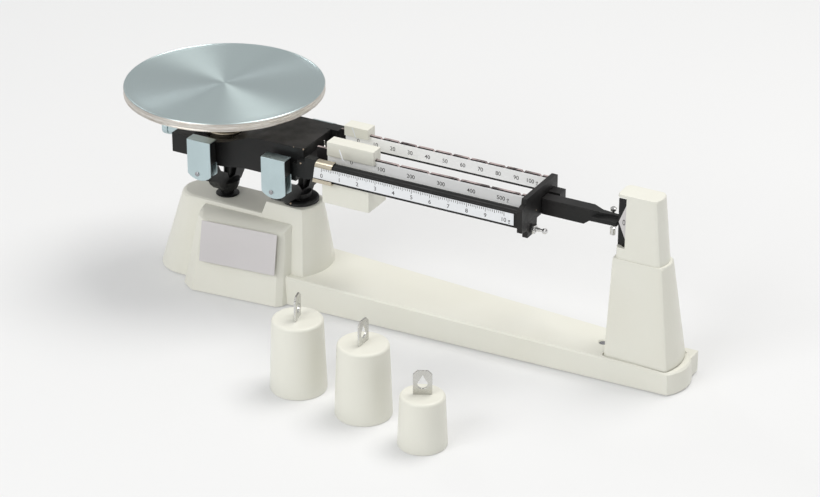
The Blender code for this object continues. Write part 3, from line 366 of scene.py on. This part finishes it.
def eased(node, radius, steps):
    """The node's own shape with its edges rounded and its curved faces smooth."""
    bm = bmesh.new()
    bm.from_mesh(frame["nodes"][node].data)
    bmesh.ops.remove_doubles(bm, verts=bm.verts, dist=0.00001)
    bmesh.ops.dissolve_limit(bm, angle_limit=math.radians(0.6), verts=bm.verts, edges=bm.edges)
    made = piece(node + "_fine", bm, finish_of(node))
    bevel = made.modifiers.new("edges", "BEVEL")
    bevel.width = radius * MM
    bevel.segments = steps
    bevel.limit_method = "ANGLE"
    bevel.angle_limit = math.radians(32.0)
    bevel.use_clamp_overlap = True
    bevel.miter_outer = "MITER_ARC"
    bevel.harden_normals = False
    bpy.context.view_layer.update()
    applied = bpy.data.meshes.new_from_object(made.evaluated_get(bpy.context.evaluated_depsgraph_get()))
    made.modifiers.clear()
    made.data = applied
    applied.shade_smooth()
    applied.set_sharp_from_angle(angle=math.radians(BASE_SHARP_ABOVE if node == "base_casting" else SHARP_ABOVE))
    weighted = made.modifiers.new("normals", "WEIGHTED_NORMAL")
    weighted.keep_sharp = True
    settle(made, node)
    return made


def turned(name, profile, centre, steps, finish):
    """A closed solid of revolution; the profile is (radius, height) in mm from bottom to top."""
    bm = bmesh.new()
    rings = []
    for radius, height in profile:
        ring = []
        for i in range(steps):
            angle = 2.0 * math.pi * i / steps
            offset = Vector((radius * math.cos(angle), radius * math.sin(angle), height))
            ring.append(bm.verts.new(centre + offset * MM))
        rings.append(ring)
    for lower, upper in zip(rings, rings[1:]):
        for i in range(steps):
            j = (i + 1) % steps
            bm.faces.new((lower[i], lower[j], upper[j], upper[i]))
    bm.faces.new(rings[0][::-1])
    bm.faces.new(rings[-1])
    return piece(name, bm, finish)


def fillet(radius, height, start, size, steps=5):
    """Profile points of a rounded top edge."""
    points = []
    for i in range(steps + 1):
        angle = math.radians(90.0 * i / steps)
        points.append((radius - size * (1.0 - math.cos(angle)), height - size + size * math.sin(angle)))
    return [point for point in points if point[1] >= start]


def box_into(bm, low, high):
    corners = [bm.verts.new((x, y, z))
               for x in (low.x, high.x) for y in (low.y, high.y) for z in (low.z, high.z)]
    for face in ((0, 1, 3, 2), (4, 6, 7, 5), (0, 4, 5, 1), (2, 3, 7, 6), (0, 2, 6, 4), (1, 5, 7, 3)):
        bm.faces.new([corners[i] for i in face])


def text_into(bm, words, size, matrix):
    curve = bpy.data.curves.new("words", "FONT")
    curve.body = words
    curve.size = size * MM
    curve.align_x = "CENTER"
    curve.align_y = "CENTER"
    curve.extrude = PRINT_THICK
    curve.offset = PRINT_BOLD
    holder = bpy.data.objects.new("words", curve)
    bpy.context.scene.collection.objects.link(holder)
    bpy.context.view_layer.update()
    mesh = bpy.data.meshes.new_from_object(holder.evaluated_get(bpy.context.evaluated_depsgraph_get()))
    mesh.transform(matrix)
    bm.from_mesh(mesh)
    bpy.data.objects.remove(holder)
    bpy.data.meshes.remove(mesh)
    bpy.data.curves.remove(curve)


def facing_front(x, y, z):
    return Matrix.Translation(at(x, y, z)) @ Matrix.Rotation(math.radians(90.0), 4, "X")


def build_pan():
    top = PAN_TOP / MM
    edge = (PAN_HIGH.x - PAN_LOW.x) / 2.0 / MM
    profile = [(edge - 2.0, -7.0), (edge - 0.6, -7.2), (edge - 0.1, -6.8), (edge, -6.2), (edge - 0.1, -5.9),
               (edge - 0.35, -5.6), (edge - 0.35, -5.2), (edge - 0.1, -4.9), (edge - 0.1, -2.9),
               (edge - 0.35, -2.7), (edge - 0.35, -2.3), (edge - 0.05, -2.1), (edge - 0.05, -1.6),
               (edge - 0.3, -0.95), (edge - 0.7, -0.5), (edge - 1.1, -0.4), (edge - 1.5, -0.5),
               (edge - 1.8, -0.72), (edge - 2.2, -0.85)]
    profile += [(edge * share, -0.85 + 0.25 * (1.0 - share)) for share in (0.9, 0.7, 0.5, 0.3, 0.15, 0.05,
                                                                           0.004)]
    plate = turned("pan_plate_fine", [(radius, top + height) for radius, height in profile],
                   at(0.0, 0.0, 0.0), 256, FINISHES["brushed_steel"])
    settle(plate, "pan_plate")


def build_weights():
    for tag in ("1000g_a", "1000g_b", "500g"):
        node = "weight_" + tag
        low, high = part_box(node)
        radius = (high.x - low.x) / 2.0 / MM
        height = high.z / MM
        top = radius * 0.905
        centre = Vector(((low.x + high.x) / 2.0, (low.y + high.y) / 2.0, 0.0))
        profile = [(radius - 1.2, 0.0), (radius - 0.35, 0.35), (radius, 1.2)]
        profile += [(radius + (top - radius) * share, 1.2 + (height - 3.4) * share) for share in (0.25,
                                                                                                  0.5, 0.75)]
        profile += fillet(top, height, height - 2.2, 2.2, 8)
        profile += [(top - 2.6, height), (0.3, height)]
        settle(turned(node + "_fine", profile, centre, 96, FINISHES["cream_paint"]), node)


def figures_into(bm, values, x, pitch, shift, last_shift, y, z):
    """A row of figures; the last one carries the unit and has its own shift."""
    last = len(values) - 1
    for count, value in enumerate(values):
        words = "%d g" % value if count == last else str(value)
        nudge = last_shift if count == last else shift
        text_into(bm, words, FIGURE_SIZE, facing_front(x + pitch * count + nudge, y, z))


def build_scales():
    """Figures on the three strips and graduations on the front one."""
    bm = bmesh.new()
    figures_into(bm, range(0, 101, 10), REAR_LABEL_X, REAR_PITCH, INNER_FIGURE_SHIFT, -0.3,
                 REAR_FACE_Y, INNER_FIGURE_Z)
    figures_into(bm, range(0, 501, 100), MIDDLE_LABEL_X, MIDDLE_PITCH, 0.0, 0.8, MIDDLE_FACE_Y,
                 INNER_FIGURE_Z)
    figures_into(bm, range(11), FRONT_ZERO_X, 10.0 * FRONT_PITCH, 0.0, 1.2, FRONT_FACE_Y, FRONT_FIGURE_Z)
    for count in range(101):
        length = 3.0 if count % 10 == 0 else 2.4 if count % 5 == 0 else 1.7
        x = FRONT_ZERO_X + FRONT_PITCH * count
        box_into(bm, at(x - TICK_HALF, FRONT_FACE_Y, FRONT_TICK_TOP_Z - length),
                 at(x + TICK_HALF, FRONT_FACE_Y + INK_DEPTH, FRONT_TICK_TOP_Z))
    marks = piece("scale_graduations", bm, INK)
    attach(marks, "beam")


def build_pointer_scale():
    low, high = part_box("pointer_scale_plate")
    face = low.y - 0.03 * MM
    mark = ZERO_MARK_Z * MM
    bm = bmesh.new()
    apex = low.x + 0.2 * MM
    right = low.x + 7.4 * MM
    corners = ((right, low.z + 0.5 * MM), (right, high.z - 0.5 * MM), (apex, mark))
    front = [bm.verts.new((x, face, z)) for x, z in corners]
    back = [bm.verts.new((x, face + 0.03 * MM, z)) for x, z in corners]
    bm.faces.new(front)
    bm.faces.new(back[::-1])
    for i in range(3):
        j = (i + 1) % 3
        bm.faces.new((front[j], front[i], back[i], back[j]))
    bmesh.ops.recalc_face_normals(bm, faces=bm.faces)
    wedge = piece("pointer_scale_wedge", bm, FINISHES["label_grey"])
    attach(wedge, "base")
    bm = bmesh.new()
    narrowed = Matrix.Diagonal((0.72, 1.0, 1.0, 1.0))
    place = Matrix.Translation(Vector((low.x + 4.3 * MM, face - 0.03 * MM, mark))) @ narrowed
    text_into(bm, "0", 6.4, place @ Matrix.Rotation(math.radians(90.0), 4, "X"))
    zero = piece("pointer_scale_zero", bm, INK)
    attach(zero, "base")


def build_index_line(name, poise, top, bottom):
    """A slanted scribed line down a poise's front face."""
    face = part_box(poise)[0].y - 0.02 * MM
    bm = bmesh.new()
    half = 0.42 * MM
    corners = ((top[0] - half, top[1]), (top[0] + half, top[1]),
               (bottom[0] + half, bottom[1]), (bottom[0] - half, bottom[1]))
    front = [bm.verts.new((x, face, z)) for x, z in corners]
    back = [bm.verts.new((x, face + 0.3 * MM, z)) for x, z in corners]
    bm.faces.new(front)
    bm.faces.new(back[::-1])
    for i in range(4):
        j = (i + 1) % 4
        bm.faces.new((front[j], front[i], back[i], back[j]))
    bmesh.ops.recalc_face_normals(bm, faces=bm.faces)
    line = piece(name, bm, FINISHES["scale_white"])
    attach(line, poise)


def build_index_lines():
    lean = 1.6 * MM
    for name, poise in (("index_line_100g", "poise_100g"), ("index_line_500g", "poise_500g")):
        low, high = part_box(poise)
        x = low.x + (high.x - low.x) * 0.42
        build_index_line(name, poise, (x - lean, high.z - 0.4 * MM), (x + lean, high.z - 8.8 * MM))


# ---------------------------------------------------------------- light, floor and camera
def build_stage():
    finish = Finish("pale_floor", 0.0, 0.9)
    finish.colour(finish.mix(finish.noise(3.0), (0.665, 0.67, 0.675), (0.655, 0.66, 0.665)))
    finish.shader.inputs["Emission Color"].default_value = (1.0, 1.0, 1.0, 1.0)
    finish.shader.inputs["Emission Strength"].default_value = 0.14
    bm = bmesh.new()
    bmesh.ops.create_grid(bm, x_segments=4, y_segments=4, size=6.0)
    floor = piece("studio_floor", bm, finish)


def area_light(name, place, target, size, power, colour):
    light = bpy.data.lights.new(name, "AREA")
    light.shape = "RECTANGLE"
    light.size, light.size_y = size
    light.energy = power
    light.color = colour
    holder = bpy.data.objects.new(name, light)
    holder.location = place
    holder.rotation_euler = (Vector(target) - Vector(place)).to_track_quat("-Z", "Y").to_euler()
    bpy.context.scene.collection.objects.link(holder)


def build_light():
    world = bpy.data.worlds.new("studio")
    bpy.context.scene.world = world
    world.use_nodes = True
    back = world.node_tree.nodes["Background"]
    back.inputs["Color"].default_value = (1.0, 1.0, 1.0, 1.0)
    back.inputs["Strength"].default_value = 0.50
    middle = (0.0, 0.0, 0.08)
    area_light("key_softbox", (-0.55, -2.0, 1.4), middle, (1.6, 1.1), 24.0, (1.0, 1.0, 0.985))
    area_light("overhead_softbox", (0.45, 0.65, 2.05), middle, (1.2, 1.2), 26.5, (1.0, 0.98, 0.95))
    area_light("side_softbox", (-1.45, 0.8, 1.3), middle, (0.3, 0.3), 1.6, (0.98, 0.99, 1.0))


def build_camera():
    data = bpy.data.cameras.new("photo_view")
    data.sensor_fit = "HORIZONTAL"
    data.sensor_width = 36.0
    data.lens = CAMERA_LENS
    data.clip_start = 0.05
    data.clip_end = 50.0
    camera = bpy.data.objects.new("photo_view", data)
    camera.location = CAMERA_LOCATION
    camera.rotation_euler = (math.radians(90.0 - CAMERA_ELEVATION), 0.0, math.radians(CAMERA_AZIMUTH))
    bpy.context.scene.collection.objects.link(camera)
    bpy.context.scene.camera = camera
    bpy.context.scene.view_settings.view_transform = "Standard"


def finish_nodes():
    """Give every CAD node its finish, and round the edges of those that show them."""
    for node, made in frame["nodes"].items():
        made.data.materials.clear()
        made.data.materials.append(finish_of(node).material)
    for node, (radius, steps) in EDGES.items():
        eased(node, radius, steps)


finish_nodes()
build_pan()
build_weights()
build_scales()
build_pointer_scale()
build_index_lines()
build_stage()
build_light()
build_camera()
